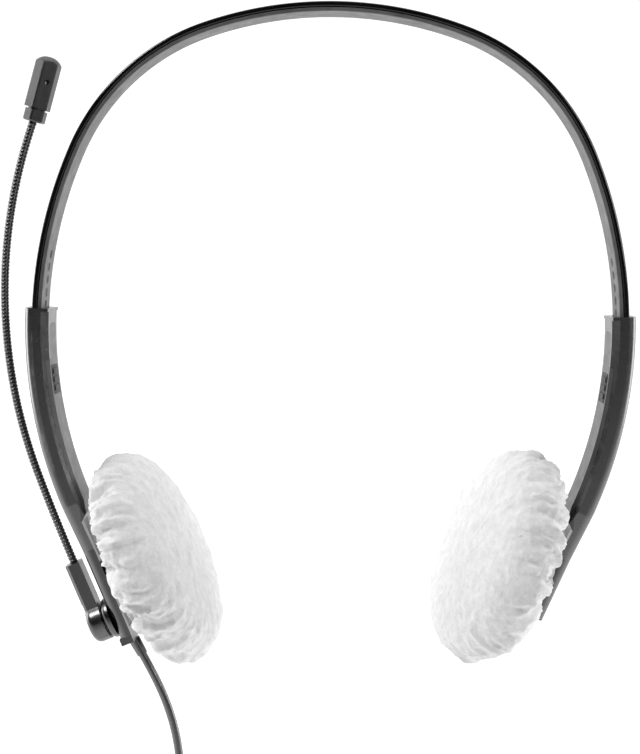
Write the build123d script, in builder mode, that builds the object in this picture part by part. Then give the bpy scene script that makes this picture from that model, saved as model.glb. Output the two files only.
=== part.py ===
from build123d import *
import math
import os

# Stereo headset with a gooseneck boom microphone, millimetres, +Z up, as worn.
# The origin is the middle of the headband's underside, where it rests on the head.
# The two sides mirror each other about the YZ plane, apart from the boom and the cable on the left.
# Every side piece is drawn on the right (+X) side and mirrored for the left.

# ---------------------------------------------------------------- driving dimensions

# headband: heading 0 runs along +X over the crown, heading 90 runs straight down
BAND_THICKNESS = 3.0
BAND_WIDTH = 12.4
LINER_THICKNESS = 1.1
SPRING_THICKNESS = 0.4
SPRING_WIDTH = 8.0
CROWN_RADIUS = 115.5
CROWN_END = 19.5
SHOULDER_RADIUS = 66.0
SHOULDER_END = 66.5
LEG_RADIUS = 135.0
FLEX_HEADING = 43.0
FLEX_GAP = 0.4

# size adjustment: the leg slides in the arm on its own curve, one dimple at a time
DIMPLE_STEP = 1.655
DIMPLE_RADIUS = 1.3
DIMPLE_DEPTH = 0.35
NUB_HEADING = 92.0
DIMPLES_ABOVE = 7
DIMPLES_BELOW = 4
LEG_END = 99.9

# arm: offsets are measured outward from the centre line of the band
ARM_TOP = 87.4
COLLAR_END = 89.4
STEP_HEADING = 94.0
CHANNEL_END = 109.3
ARM_BEND_END = 113.3
ARM_OUT = 3.4
ARM_IN = -3.8
FOOT_IN = -0.6
ARM_WIDTH = 16.0
FOOT_WIDTH = 11.5
CHANNEL_HALF = 1.75
CHANNEL_WIDTH = 12.7
RIGHT_FOOT = 35.4
LEFT_FOOT = 44.1
FOOT_CAP = 2.2

# ear cup: the two pivots cross at one point, CUP_RUN down the arm
CUP_RUN = 24.1
CUP_OFFSET = -8.6
CUP_LEAN = 22.0
CUP_YAW = 8.0
# each cup rests turned a little on its two pivots: (tilt, swivel) in degrees
CUP_REST = {"left": (3.0, 2.0), "right": (-1.0, -6.0)}
COVER_RADIUS = 33.0
COVER_FACE = 19.6
FLANGE_RADIUS = 27.0

# boom
BOOM_RUN = 37.6
BOOM_BASE_RADIUS = 6.4
BOOM_BASE_TOP = 5.6
PIVOT_RADIUS = 1.5
PUCK_RADIUS = 6.0
PUCK_BOTTOM = 6.0
PUCK_TOP = 11.0
SOCKET_RUN = 17.4
SOCKET_WIDTH = 6.0
SOCKET_LENGTH = 13.0
SOCKET_IN = 6.4
NECK_DIAMETER = 2.5
NECK_START = (77.6, -168.0)
NECK_LEAN = 23.4
NECK_RADII = (622.0, 157.0)
NECK_TURNS = (2.8, 40.4)
NECK_GAP = 0.8
MIC_LEAN = -15.0
MIC_LENGTH = 15.8
MIC_FLAT = 7.1
MIC_TURN = 37.0
DOME_RISE = 3.6
DOME_RADIUS = 4.5
SOUND_HOLE_RISE = 7.8
SOUND_HOLE_SIDE = 1.6
COLLAR_LENGTH = 3.6

# cable
CABLE_DIAMETER = 2.6
RELIEF_DIAMETER = 3.3
RELIEF_LENGTH = 5.5
RELIEF_OFFSET = 0.4
RELIEF_TURN = 6.0
RELIEF_ROOT = 0.8
COIL_CENTRE = (-32.2, -271.0)
COIL_RADIUS = 15.5
COIL_RADIAL = 11.4
COIL_DEPTH = 8.6
PLUG_X = -50.6
PLUG_TOP = -285.0
PLUG_DEPTH = 2.8
PIN_RADIUS = 1.75

EAR_SIDES = {"left": -1, "right": 1}


# ---------------------------------------------------------------- the band's curve

def step(start, distance, heading):
    """A point at a distance from start, along the outward normal of a heading."""
    angle = math.radians(heading)
    return (start[0] + distance * math.sin(angle), start[1] + distance * math.cos(angle))


CROWN_CENTRE = (0.0, BAND_THICKNESS / 2 - CROWN_RADIUS)
SHOULDER_CENTRE = step(CROWN_CENTRE, CROWN_RADIUS - SHOULDER_RADIUS, CROWN_END)
LEG_CENTRE = step(SHOULDER_CENTRE, SHOULDER_RADIUS - LEG_RADIUS, SHOULDER_END)
BAND_ARCS = (
    (CROWN_CENTRE, CROWN_RADIUS, 0.0, CROWN_END),
    (SHOULDER_CENTRE, SHOULDER_RADIUS, CROWN_END, SHOULDER_END),
    (LEG_CENTRE, LEG_RADIUS, SHOULDER_END, ARM_BEND_END),
)
ARM_CORNER = step(LEG_CENTRE, LEG_RADIUS, ARM_BEND_END)


def band_point(heading, offset=0.0):
    """The band's centre line at a heading, moved outward by offset."""
    for centre, radius, first, last in BAND_ARCS:
        if first <= heading <= last:
            return step(centre, radius + offset, heading)
    raise ValueError(heading)


def arm_point(run, offset):
    """A point of the straight lower arm: run down from its top, offset outward."""
    x, z = step(ARM_CORNER, offset, ARM_BEND_END)
    angle = math.radians(ARM_BEND_END)
    return (x + run * math.cos(angle), z - run * math.sin(angle))


def arm_plane(run=0.0, offset=0.0):
    """Local x runs down the arm, local z points outward, on the right side."""
    x, z = arm_point(run, offset)
    angle = math.radians(ARM_BEND_END)
    return Plane(
        origin=(x, 0, z),
        x_dir=(math.cos(angle), 0, -math.sin(angle)),
        z_dir=(math.sin(angle), 0, math.cos(angle)),
    )


def band_plane(heading, offset=0.0):
    """Local z points outward and local x runs down the band at a heading."""
    x, z = band_point(heading, offset)
    angle = math.radians(heading)
    return Plane(
        origin=(x, 0, z),
        x_dir=(math.cos(angle), 0, -math.sin(angle)),
        z_dir=(math.sin(angle), 0, math.cos(angle)),
    )


def strip(first, last, inner, outer):
    """Side view of the strip between two headings and two offsets."""
    with BuildSketch(Plane.XZ) as face:
        with BuildLine():
            for offset in (inner, outer):
                for centre, radius, arc_first, arc_last in BAND_ARCS:
                    start = max(first, arc_first)
                    end = min(last, arc_last)
                    if end > start:
                        CenterArc(centre, radius + offset, 90 - start, start - end)
            for heading in (first, last):
                Line(band_point(heading, inner), band_point(heading, outer))
        make_face()
    return face.sketch


def slab(first, last, inner, outer, half_width, mode=Mode.ADD):
    """The strip between two headings and two offsets, as wide as twice half_width."""
    extrude(strip(first, last, inner, outer), amount=half_width, both=True, mode=mode)


def on_side(part, side):
    """The part itself on the right, its mirror image on the left."""
    return part if side > 0 else mirror(part, about=Plane.YZ)


def write(part, name):
    part.label = name
    export_step(part, f"parts/{name}.step")


os.makedirs("parts", exist_ok=True)

# ---------------------------------------------------------------- headband

OUTER_TOP = BAND_THICKNESS / 2
LINER_TOP = -BAND_THICKNESS / 2 + LINER_THICKNESS
SPRING_SEAT = LINER_TOP + SPRING_THICKNESS
HALF_GAP = math.degrees(FLEX_GAP / 2 / SHOULDER_RADIUS)
GROOVE_DEPTH = 0.3
GROOVE_LINE = 0.35


def band_outer(first, last):
    """Glossy outer shell: its underside holds the spring, its long edges are rounded."""
    with BuildPart() as shell:
        slab(first, last, LINER_TOP, OUTER_TOP, BAND_WIDTH / 2)
        slab(first, last, LINER_TOP - 0.1, SPRING_SEAT, SPRING_WIDTH / 2 + 0.1, Mode.SUBTRACT)
        for side in (-1, 1):
            groove = strip(first, last, LINER_TOP, LINER_TOP + GROOVE_LINE)
            edge = BAND_WIDTH / 2 - GROOVE_DEPTH / 2
            extrude(groove.moved(Location((0, side * edge, 0))), amount=GROOVE_DEPTH / 2, both=True,
                    mode=Mode.SUBTRACT)
    return shell.part


def band_spring(first, last):
    with BuildPart() as spring:
        slab(first, last, LINER_TOP, SPRING_SEAT, SPRING_WIDTH / 2)
    return spring.part


def band_liner(first, last, dimples):
    """Matt inner strip, with the round detent dimples in its inner face."""
    with BuildPart() as liner:
        slab(first, last, -OUTER_TOP, LINER_TOP, BAND_WIDTH / 2)
        for heading in dimples:
            with BuildSketch(band_plane(heading, -OUTER_TOP - 0.1)):
                Circle(DIMPLE_RADIUS)
            extrude(amount=DIMPLE_DEPTH + 0.1, mode=Mode.SUBTRACT)
    return liner.part


def whole_crown(half):
    with BuildPart() as crown:
        add(half)
        mirror(about=Plane.YZ)
    return crown.part


crown_end = FLEX_HEADING - HALF_GAP
leg_start = FLEX_HEADING + HALF_GAP
dimple_headings = [NUB_HEADING + k * DIMPLE_STEP for k in range(-DIMPLES_ABOVE, DIMPLES_BELOW + 1)]
write(whole_crown(band_outer(0, crown_end)), "band_crown_shell")
write(whole_crown(band_liner(0, crown_end, [])), "band_crown_liner")
write(whole_crown(band_spring(0, crown_end)), "band_crown_spring")
for name, side in EAR_SIDES.items():
    write(on_side(band_outer(leg_start, LEG_END), side), f"{name}_band_shell")
    write(on_side(band_liner(leg_start, LEG_END, dimple_headings), side), f"{name}_band_liner")
    write(on_side(band_spring(leg_start, LEG_END), side), f"{name}_band_spring")

# ---------------------------------------------------------------- arms

SKIRT_IN = -2.7
COVER_FIT = 0.05
CASING_ROUND = 2.7
PANEL_WIDTH = 9.4
PANEL_CORNER = 2.4
BEVEL_START = (-1.7, 8.0)
BEVEL_END = (-3.8, 6.2)
TONGUE_HALF = 3.2
TONGUE_OUT = 0.3
POCKET_OUT = 1.9
RAMP_RUN = 6.0
TAPER_END = 15.0
SCREW_RUNS = (2.4, 31.6)
TAB_HEADINGS = (94.9, 98.8)


def foot_length(side):
    return RIGHT_FOOT if side > 0 else LEFT_FOOT


def arm_outline(top, top_in, length, inner_straight):
    """Side view of an arm piece: outer edge, foot, straight inner edge and curved inner edge."""
    bend_in = band_point(ARM_BEND_END, top_in)
    with BuildSketch(Plane.XZ) as face:
        with BuildLine():
            CenterArc(LEG_CENTRE, LEG_RADIUS + ARM_OUT, 90 - top, top - ARM_BEND_END)
            Line(band_point(ARM_BEND_END, ARM_OUT), arm_point(length, ARM_OUT))
            Polyline(arm_point(length, ARM_OUT), *inner_straight, bend_in)
            CenterArc(LEG_CENTRE, LEG_RADIUS + top_in, 90 - top, top - ARM_BEND_END)
            Line(band_point(top, top_in), band_point(top, ARM_OUT))
        make_face()
    return face.sketch


def taper_faces(length):
    """What is trimmed from the arm's two sides, from its full width to the foot's width."""
    margin = 3.0
    with BuildSketch(arm_plane(0, -8)) as faces:
        for edge in (-1, 1):
            with BuildLine():
                Polyline(
                    (0, edge * ARM_WIDTH / 2),
                    (TAPER_END, edge * FOOT_WIDTH / 2),
                    (length + margin, edge * FOOT_WIDTH / 2),
                    (length + margin, edge * (ARM_WIDTH / 2 + margin)),
                    (0, edge * (ARM_WIDTH / 2 + margin)),
                    close=True,
                )
            make_face()
    return faces.sketch


def bevel_faces(side):
    """Section of what the bevel takes off one inner edge, in (radius, width)."""
    leg_plane = Plane(origin=(LEG_CENTRE[0], 0, LEG_CENTRE[1]), x_dir=(1, 0, 0), z_dir=(0, 0, 1))
    with BuildSketch(leg_plane) as face:
        with BuildLine():
            Polyline(
                (LEG_RADIUS + BEVEL_START[0], side * BEVEL_START[1]),
                (LEG_RADIUS + BEVEL_END[0], side * BEVEL_END[1]),
                (LEG_RADIUS + BEVEL_END[0] - 2, side * BEVEL_END[1]),
                (LEG_RADIUS + BEVEL_END[0] - 2, side * (BEVEL_START[1] + 1)),
                (LEG_RADIUS + BEVEL_START[0], side * (BEVEL_START[1] + 1)),
                close=True,
            )
        make_face()
    return face.sketch


def arm_radius(point):
    """Distance of a point from the leg's centre, in side view."""
    return math.hypot(point.X - LEG_CENTRE[0], point.Z - LEG_CENTRE[1])


def arm_offset(point):
    """How far outward a point lies from the arm's centre line."""
    local = arm_plane().to_local_coords(point)
    if local.X > 0:
        return local.Z
    return arm_radius(point) - LEG_RADIUS


def arm_heading(point):
    """Heading of a point of the curved arm."""
    return math.degrees(math.atan2(point.X - LEG_CENTRE[0], point.Z - LEG_CENTRE[1]))


def bevel_tool():
    """Ring that bevels both inner edges of the curved arm."""
    leg_axis = Axis((LEG_CENTRE[0], 0, LEG_CENTRE[1]), (0, 1, 0))
    with BuildPart() as tool:
        for side in (-1, 1):
            revolve(bevel_faces(side), axis=leg_axis, revolution_arc=28)
    return tool.part.rotate(leg_axis, -2.2)


def top_panel(first, inner, outer, half_width):
    """The narrow upper part of the cover, whose top corners are round."""
    with BuildPart() as panel:
        slab(first, STEP_HEADING + 1, inner, outer, half_width)
        corners = panel.edges().filter_by(
            lambda e: abs(abs((e @ 0).Y) - half_width) < 0.01
            and abs(abs((e @ 1).Y) - half_width) < 0.01
            and abs(arm_heading(e @ 0) - first) < 0.01
            and abs(arm_heading(e @ 1) - first) < 0.01
            and e.length < 6
        )
        fillet(corners, PANEL_CORNER)
    return panel.part


def arm_casing(side):
    """Outer casing: a closed collar at the top, then a channel that is open to the inside."""
    length = foot_length(side)
    foot_corner = [arm_point(length, FOOT_IN), arm_point(RAMP_RUN, FOOT_IN)]
    if side > 0:
        foot_corner.insert(0, arm_point(length, FOOT_IN + 2.4))
        foot_corner[1] = arm_point(length - 1.6, FOOT_IN)
    with BuildPart() as casing:
        extrude(arm_outline(ARM_TOP, SKIRT_IN, length, foot_corner), amount=ARM_WIDTH / 2, both=True)
        extrude(taper_faces(length), amount=16, mode=Mode.SUBTRACT)
        outer_edges = casing.edges().filter_by(
            lambda e: abs(arm_offset(e @ 0.5) - ARM_OUT) < 0.02 and abs((e @ 0.5).Y) > FOOT_WIDTH / 2 - 0.1
        )
        fillet(outer_edges, CASING_ROUND)
        slab(ARM_TOP, STEP_HEADING, ARM_IN, SKIRT_IN, ARM_WIDTH / 2)
        add(bevel_tool(), mode=Mode.SUBTRACT)
        add(top_panel(COLLAR_END, ARM_IN - 1, 0, PANEL_WIDTH / 2), mode=Mode.SUBTRACT)
        slab(STEP_HEADING, ARM_BEND_END, ARM_IN - 1, CHANNEL_HALF, CHANNEL_WIDTH / 2, Mode.SUBTRACT)
        slab(ARM_TOP - 1, CHANNEL_END, -CHANNEL_HALF, CHANNEL_HALF, CHANNEL_WIDTH / 2, Mode.SUBTRACT)
        with BuildSketch(arm_plane(0, FOOT_IN - 2)):
            with Locations(((length - 2.4) / 2, 0)):
                Rectangle(length - 2.4, 2 * TONGUE_HALF)
        extrude(amount=POCKET_OUT - FOOT_IN + 2, mode=Mode.SUBTRACT)
        with BuildSketch(arm_plane(RAMP_RUN / 2 - 1, FOOT_IN - 2)):
            Rectangle(RAMP_RUN + 2, CHANNEL_WIDTH - 3.2)
        extrude(amount=POCKET_OUT - FOOT_IN + 2, mode=Mode.SUBTRACT)
        for run in SCREW_RUNS:
            with Locations(arm_plane(run, POCKET_OUT - 0.1)):
                Cylinder(0.8, 1.0, align=(Align.CENTER, Align.CENTER, Align.MIN), mode=Mode.SUBTRACT)
        if side < 0:
            with BuildSketch(arm_plane(BOOM_RUN, 0)):
                Circle(PIVOT_RADIUS + 0.02)
            extrude(amount=6, mode=Mode.SUBTRACT)
    return casing.part


def arm_cover(side):
    """Inner cover: narrow at the top, full width below its step, then a tongue to the foot."""
    length = foot_length(side) - 2.6
    with BuildPart() as cover:
        slab(STEP_HEADING + 0.03, ARM_BEND_END, ARM_IN, SKIRT_IN - COVER_FIT, ARM_WIDTH / 2)
        with BuildSketch(Plane.XZ):
            with BuildLine():
                Polyline(
                    arm_point(0, ARM_IN),
                    arm_point(RAMP_RUN - 2.0, ARM_IN + 0.8),
                    arm_point(RAMP_RUN, FOOT_IN - COVER_FIT),
                    arm_point(0, SKIRT_IN - COVER_FIT),
                    close=True,
                )
            make_face()
        extrude(amount=ARM_WIDTH / 2, both=True)
        extrude(taper_faces(length), amount=16, mode=Mode.SUBTRACT)
        add(top_panel(COLLAR_END + 0.03, ARM_IN, -CHANNEL_HALF, PANEL_WIDTH / 2 - COVER_FIT))
        add(bevel_tool(), mode=Mode.SUBTRACT)
        slab(STEP_HEADING, CHANNEL_END, -CHANNEL_HALF, 0, CHANNEL_WIDTH / 2, Mode.SUBTRACT)
        with BuildSketch(arm_plane(0, FOOT_IN)):
            with Locations((length / 2, 0)):
                Rectangle(length, 2 * (TONGUE_HALF - COVER_FIT))
        extrude(amount=TONGUE_OUT - FOOT_IN)
        with BuildSketch(arm_plane(0, ARM_IN + 1)):
            with Locations((RAMP_RUN / 2 - 1, 0)):
                Rectangle(RAMP_RUN - 2, 2 * (TONGUE_HALF - COVER_FIT))
        extrude(amount=TONGUE_OUT - ARM_IN - 1)
        slab(NUB_HEADING - 1.95, NUB_HEADING + 2, ARM_IN + 0.6, -CHANNEL_HALF + 0.1, 3.2, Mode.SUBTRACT)
        for run in SCREW_RUNS:
            inner = ARM_IN - 1 if run < RAMP_RUN else FOOT_IN - 1
            with Locations(arm_plane(run, inner)):
                Cylinder(0.85, 6, align=(Align.CENTER, Align.CENTER, Align.MIN), mode=Mode.SUBTRACT)
    return cover.part


def detent_spring():
    """Leaf spring in the cover's pocket, with a nub that drops into a dimple."""
    leaf_in = ARM_IN + 0.75
    nub_top = -OUTER_TOP - 0.08
    with BuildPart() as leaf:
        slab(NUB_HEADING - 1.8, NUB_HEADING + 1.8, leaf_in, leaf_in + 0.4, 2.8)
        with BuildSketch(band_plane(NUB_HEADING, leaf_in + 0.2)):
            Circle(0.9)
        extrude(amount=nub_top - leaf_in - 0.2)
        nub_face = leaf.faces().sort_by(lambda f: arm_radius(f.center()))[-1]
        fillet(nub_face.edges(), 0.3)
    return leaf.part


def arm_screws():
    """Two self-tapping screws that hold the cover to the casing."""
    with BuildPart() as screws:
        for run in SCREW_RUNS:
            seat = ARM_IN + 0.9 if run < RAMP_RUN else FOOT_IN + 0.2
            with Locations(arm_plane(run, seat)):
                Cylinder(0.75, POCKET_OUT + 0.7 - seat, align=(Align.CENTER, Align.CENTER, Align.MIN))
    return screws.part


def side_tab():
    """Small raised tab on the cover's inner face, with three ribs to be felt by a finger."""
    with BuildPart() as tab:
        slab(TAB_HEADINGS[0], TAB_HEADINGS[1], ARM_IN - 0.12, ARM_IN, 4.2)
        for heading in (TAB_HEADINGS[0] + 0.5, TAB_HEADINGS[0] + 1.6, TAB_HEADINGS[0] + 2.7):
            slab(heading, heading + 0.7, ARM_IN - 0.4, ARM_IN - 0.12, 3.4)
    return tab.part


def cup_post():
    """Eye that stands on the arm's inner face and carries the tilt pin."""
    with BuildPart() as post:
        with Locations(arm_plane(CUP_RUN, FOOT_IN)):
            Cylinder(4.2, 1.0, align=(Align.CENTER, Align.CENTER, Align.MAX))
            Cylinder(1.3, -CUP_OFFSET + FOOT_IN - 0.6, align=(Align.CENTER, Align.CENTER, Align.MAX))
        with BuildSketch(Plane.XZ):
            with Locations(arm_point(CUP_RUN, CUP_OFFSET)):
                Circle(1.9)
        extrude(amount=1.3, both=True)
        with BuildSketch(Plane.XZ):
            with Locations(arm_point(CUP_RUN, CUP_OFFSET)):
                Circle(0.8)
        extrude(amount=5, both=True, mode=Mode.SUBTRACT)
    return post.part


for name, side in EAR_SIDES.items():
    write(on_side(arm_casing(side), side), f"{name}_arm_casing")
    write(on_side(arm_cover(side), side), f"{name}_arm_cover")
    write(on_side(detent_spring(), side), f"{name}_detent_spring")
    write(on_side(arm_screws(), side), f"{name}_arm_screws")
    write(on_side(side_tab(), side), f"{name}_side_tab")
    write(on_side(cup_post(), side), f"{name}_cup_post")

# ---------------------------------------------------------------- ear cups

KNUCKLE_LENGTH = 7.0
KNUCKLE_DEPTH = 4.4
TRUNNION_RADIUS = 1.2
TRUNNION_REACH = 6.6
RECESS = 9.6
RECESS_FLOOR = 3.3
BOSS_RADIUS = 8.4
HOUSING_BACK = -3.0
HOUSING_WALL = 1.4
GRILLE_BACK = 8.2
GRILLE_FACE = 9.2
CUSHION_RADIUS = 30.0
CUSHION_BACK = 9.4
CUSHION_FACE = 17.2
CUSHION_CROWN = 18.5
CLOTH = 0.8

pivot_x, pivot_z = arm_point(CUP_RUN, CUP_OFFSET)
lean = math.radians(CUP_LEAN)
knuckle_plane = Plane(
    origin=(pivot_x, 0, pivot_z),
    x_dir=(-math.sin(lean), 0, -math.cos(lean)),
    z_dir=(-math.cos(lean), 0, math.sin(lean)),
)
# local x runs down the cup, local z points at the ear; the cup is yawed a little to the front
yaw = math.radians(CUP_YAW)
cup_plane = Plane(
    origin=(pivot_x, 0, pivot_z),
    x_dir=(-math.sin(lean), 0, -math.cos(lean)),
    z_dir=(-math.cos(lean) * math.cos(yaw), -math.sin(yaw), math.sin(lean) * math.cos(yaw)),
)
cup_axis_plane = Plane(origin=cup_plane.origin, x_dir=cup_plane.x_dir, z_dir=-cup_plane.y_dir)


CUP_AXIS = Axis(cup_plane.origin, cup_plane.z_dir)


def cup_profile(*points):
    """Half section of a round cup piece, from (radius, height) points."""
    with BuildSketch(cup_axis_plane) as face:
        with BuildLine():
            Polyline(*points, close=True)
        make_face()
    return face.sketch


def cup_knuckle():
    with BuildPart() as knuckle:
        with Locations(knuckle_plane):
            Box(KNUCKLE_LENGTH, KNUCKLE_LENGTH, KNUCKLE_DEPTH)
        fillet(knuckle.edges(), 0.5)
        with Locations(knuckle_plane):
            Cylinder(TRUNNION_RADIUS, 2 * TRUNNION_REACH, rotation=(0, 90, 0))
            Box(4.8, 2.9, KNUCKLE_DEPTH + 2, mode=Mode.SUBTRACT)
            Cylinder(0.75, 12, rotation=(90, 0, 0), mode=Mode.SUBTRACT)
    return knuckle.part


def cup_pin():
    with BuildPart() as pin:
        with Locations(knuckle_plane):
            Cylinder(0.75, KNUCKLE_LENGTH - 0.6, rotation=(90, 0, 0))
    return pin.part


def cup_housing():
    """Shallow speaker housing: domed back with a recess for the knuckle, and a flange."""
    with BuildPart() as housing:
        back = [(0, HOUSING_BACK), (9, HOUSING_BACK), (16, -1.8), (20.5, 0.9), (24, 3.4)]
        rim = FLANGE_RADIUS - HOUSING_WALL
        flange = [(FLANGE_RADIUS, 5.4), (FLANGE_RADIUS, GRILLE_BACK), (rim, GRILLE_BACK), (rim, 6.2)]
        floor = HOUSING_BACK + HOUSING_WALL
        inner = [(23, 4.9), (19.6, 2.4), (15.5, -0.2), (9, floor), (0, floor)]
        revolve(cup_profile(*back, *flange, *inner), axis=CUP_AXIS)
        with BuildSketch(cup_plane.offset(HOUSING_BACK)):
            Circle(BOSS_RADIUS)
        extrude(amount=3.8 - HOUSING_BACK)
        with BuildSketch(cup_plane.offset(HOUSING_BACK - 1)):
            Rectangle(RECESS, RECESS)
        extrude(amount=RECESS_FLOOR - HOUSING_BACK + 1, mode=Mode.SUBTRACT)
        with Locations(cup_plane):
            bore_length = 2 * TRUNNION_REACH + 0.4
            Cylinder(TRUNNION_RADIUS + 0.05, bore_length, rotation=(0, 90, 0), mode=Mode.SUBTRACT)
    return housing.part


def driver_basket():
    with BuildPart() as basket:
        back = [(7.4, 4.0), (13.0, 4.0), (16.6, 6.6), (19.5, 6.6)]
        front = [(19.5, 7.8), (15.6, 7.8), (12.4, 5.2), (7.4, 5.2)]
        revolve(cup_profile(*back, *front), axis=CUP_AXIS)
    return basket.part


def driver_magnet():
    with BuildPart() as magnet:
        revolve(cup_profile((0, 3.85), (7.3, 3.85), (7.3, 6.0), (0, 6.0)), axis=CUP_AXIS)
    return magnet.part


def driver_diaphragm():
    with BuildPart() as diaphragm:
        back = [(0, 7.2), (5.0, 6.9), (9.0, 6.3), (12.0, 7.0), (15.2, 7.9)]
        front = [(15.4, 8.1), (12.0, 7.3), (9.0, 6.6), (5.0, 7.2), (0, 7.5)]
        revolve(cup_profile(*back, *front), axis=CUP_AXIS)
    return diaphragm.part


def driver_grille():
    """Round plate over the driver, with rings of sound holes."""
    with BuildPart() as grille:
        with BuildSketch(cup_plane.offset(GRILLE_BACK + 0.02)):
            Circle(FLANGE_RADIUS)
            for ring, count in ((4.0, 6), (8.0, 12), (12.0, 18)):
                with PolarLocations(ring, count):
                    Circle(1.0, mode=Mode.SUBTRACT)
        extrude(amount=GRILLE_FACE - GRILLE_BACK - 0.02)
    return grille.part


def cushion():
    with BuildPart() as foam:
        back = [(0, CUSHION_BACK), (CUSHION_RADIUS - 1.2, CUSHION_BACK), (CUSHION_RADIUS, CUSHION_BACK + 1.2)]
        rim = [(CUSHION_RADIUS, 13.6), (CUSHION_RADIUS - 1.6, 16.0)]
        face = [(24, CUSHION_FACE), (12, 18.1), (0, CUSHION_CROWN)]
        revolve(cup_profile(*back, *rim, *face), axis=CUP_AXIS)
    return foam.part


def cushion_cover():
    """Closed cloth cover: face, rim, and the gathered back with its round opening."""
    back = [(21.0, 0.3), (25.2, 0.0), (29.5, 1.2), (32.2, 4.4), (COVER_RADIUS, 8.6)]
    face = [(32.2, 13.2), (29.2, 16.6), (23.4, 18.3), (12, 19.2), (0, COVER_FACE)]
    inner_face = [(0, COVER_FACE - CLOTH), (12, 19.2 - CLOTH), (24, 17.5), (28.7, 16.1), (30.4, 13.6)]
    inner_back = [(30.4, 9.0), (28.2, 4.2), (25.0, 2.2), (22.4, 1.6), (21.3, 1.0)]
    with BuildPart() as cover:
        revolve(cup_profile(*back, *face, *inner_face, *inner_back), axis=CUP_AXIS)
    return cover.part


CUP_PIECES = {
    "cup_knuckle": cup_knuckle,
    "cup_pin": cup_pin,
    "cup_housing": cup_housing,
    "driver_basket": driver_basket,
    "driver_magnet": driver_magnet,
    "driver_diaphragm": driver_diaphragm,
    "driver_grille": driver_grille,
    "cushion": cushion,
    "cushion_cover": cushion_cover,
}
TILT_AXIS = Axis(cup_plane.origin, (0, 1, 0))
SWIVEL_AXIS = Axis(knuckle_plane.origin, knuckle_plane.x_dir)


def at_rest(part, name, piece):
    """The piece turned on the pivots to the pose in which its cup rests."""
    tilt, swivel = CUP_REST[name]
    if piece not in ("cup_knuckle", "cup_pin"):
        part = part.rotate(SWIVEL_AXIS, swivel)
    return part.rotate(TILT_AXIS, tilt)


for name, side in EAR_SIDES.items():
    for piece, make in CUP_PIECES.items():
        write(on_side(at_rest(make(), name, piece), side), f"{name}_{piece}")

# ---------------------------------------------------------------- boom, on the left arm

BOOM_PLANE = arm_plane(BOOM_RUN, 0)


def boom_base():
    """Round boss on the outside of the arm that the boom turns against."""
    with BuildPart() as base:
        with BuildSketch(BOOM_PLANE.offset(ARM_OUT)):
            Circle(BOOM_BASE_RADIUS)
        extrude(amount=BOOM_BASE_TOP - ARM_OUT)
        fillet(base.faces().sort_by(Axis(BOOM_PLANE.origin, BOOM_PLANE.z_dir))[-1].edges(), 1.5)
        with BuildSketch(BOOM_PLANE):
            Circle(PIVOT_RADIUS)
        extrude(amount=12, mode=Mode.SUBTRACT)
    return base.part


def boom_pivot():
    """Headed pivot that clamps the boom to the arm from inside."""
    with BuildPart() as pivot:
        with BuildSketch(BOOM_PLANE.offset(TONGUE_OUT + 0.1)):
            Circle(2.6)
        extrude(amount=1.0)
        with BuildSketch(BOOM_PLANE.offset(TONGUE_OUT + 0.1)):
            Circle(PIVOT_RADIUS)
        extrude(amount=8.4)
    return pivot.part


def boom_washer():
    with BuildPart() as washer:
        with BuildSketch(BOOM_PLANE.offset(BOOM_BASE_TOP)):
            Circle(4.0)
            Circle(PIVOT_RADIUS + 0.1, mode=Mode.SUBTRACT)
        extrude(amount=0.3)
    return washer.part


def boom_knuckle():
    """Round head with a neck that ends in the rectangular socket of the gooseneck."""
    with BuildPart() as head:
        with BuildSketch(BOOM_PLANE.offset(PUCK_BOTTOM)):
            Circle(PUCK_RADIUS)
        extrude(amount=PUCK_TOP - PUCK_BOTTOM)
        fillet(head.faces().sort_by(Axis(BOOM_PLANE.origin, BOOM_PLANE.z_dir))[-1].edges(), 2.0)
        with BuildSketch(arm_plane((SOCKET_RUN + BOOM_RUN) / 2, PUCK_BOTTOM + 0.1)):
            Rectangle(BOOM_RUN - SOCKET_RUN, SOCKET_WIDTH)
        extrude(amount=PUCK_TOP - PUCK_BOTTOM - 0.5)
        with BuildSketch(arm_plane(SOCKET_RUN + SOCKET_LENGTH / 2, SOCKET_IN)):
            Rectangle(SOCKET_LENGTH, SOCKET_WIDTH)
        extrude(amount=PUCK_TOP - SOCKET_IN - 0.2)
        top_edges = head.edges().filter_by(
            lambda e: abs(arm_plane().to_local_coords(e @ 0.5).Z - PUCK_TOP + 0.2) < 0.02
            and abs(abs((e @ 0.5).Y) - SOCKET_WIDTH / 2) < 0.01
        )
        chamfer(top_edges, 1.1)
        with BuildSketch(BOOM_PLANE.offset(PUCK_BOTTOM - 1)):
            Circle(PIVOT_RADIUS + 0.05)
        extrude(amount=4.4, mode=Mode.SUBTRACT)
        neck_foot = neck_frame(0.02)
        with BuildSketch(Plane(origin=neck_foot.origin - neck_foot.z_dir * 2, z_dir=neck_foot.z_dir)):
            Circle(NECK_DIAMETER / 2 + 0.02)
        extrude(amount=8.0, mode=Mode.SUBTRACT)
    return head.part


def neck_line(first, last):
    """The part of the gooseneck's centre line between two distances from its foot."""
    edges = []
    x, z = NECK_START
    heading = NECK_LEAN
    done = 0.0
    for radius, turn in zip(NECK_RADII, NECK_TURNS):
        length = radius * math.radians(turn)
        centre = (x - radius * math.cos(math.radians(heading)), z + radius * math.sin(math.radians(heading)))
        start = max(first, done)
        end = min(last, done + length)
        if end > start + 1e-6:
            polar = -heading + math.degrees((start - done) / radius)
            edges.append((centre, radius, polar, math.degrees((end - start) / radius)))
        heading -= turn
        x = centre[0] + radius * math.cos(math.radians(heading))
        z = centre[1] - radius * math.sin(math.radians(heading))
        done += length
    return edges


NECK_LENGTH = sum(r * math.radians(t) for r, t in zip(NECK_RADII, NECK_TURNS))
NECK_CUTS = (0.0, 46.0, 88.0, NECK_LENGTH)


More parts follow.
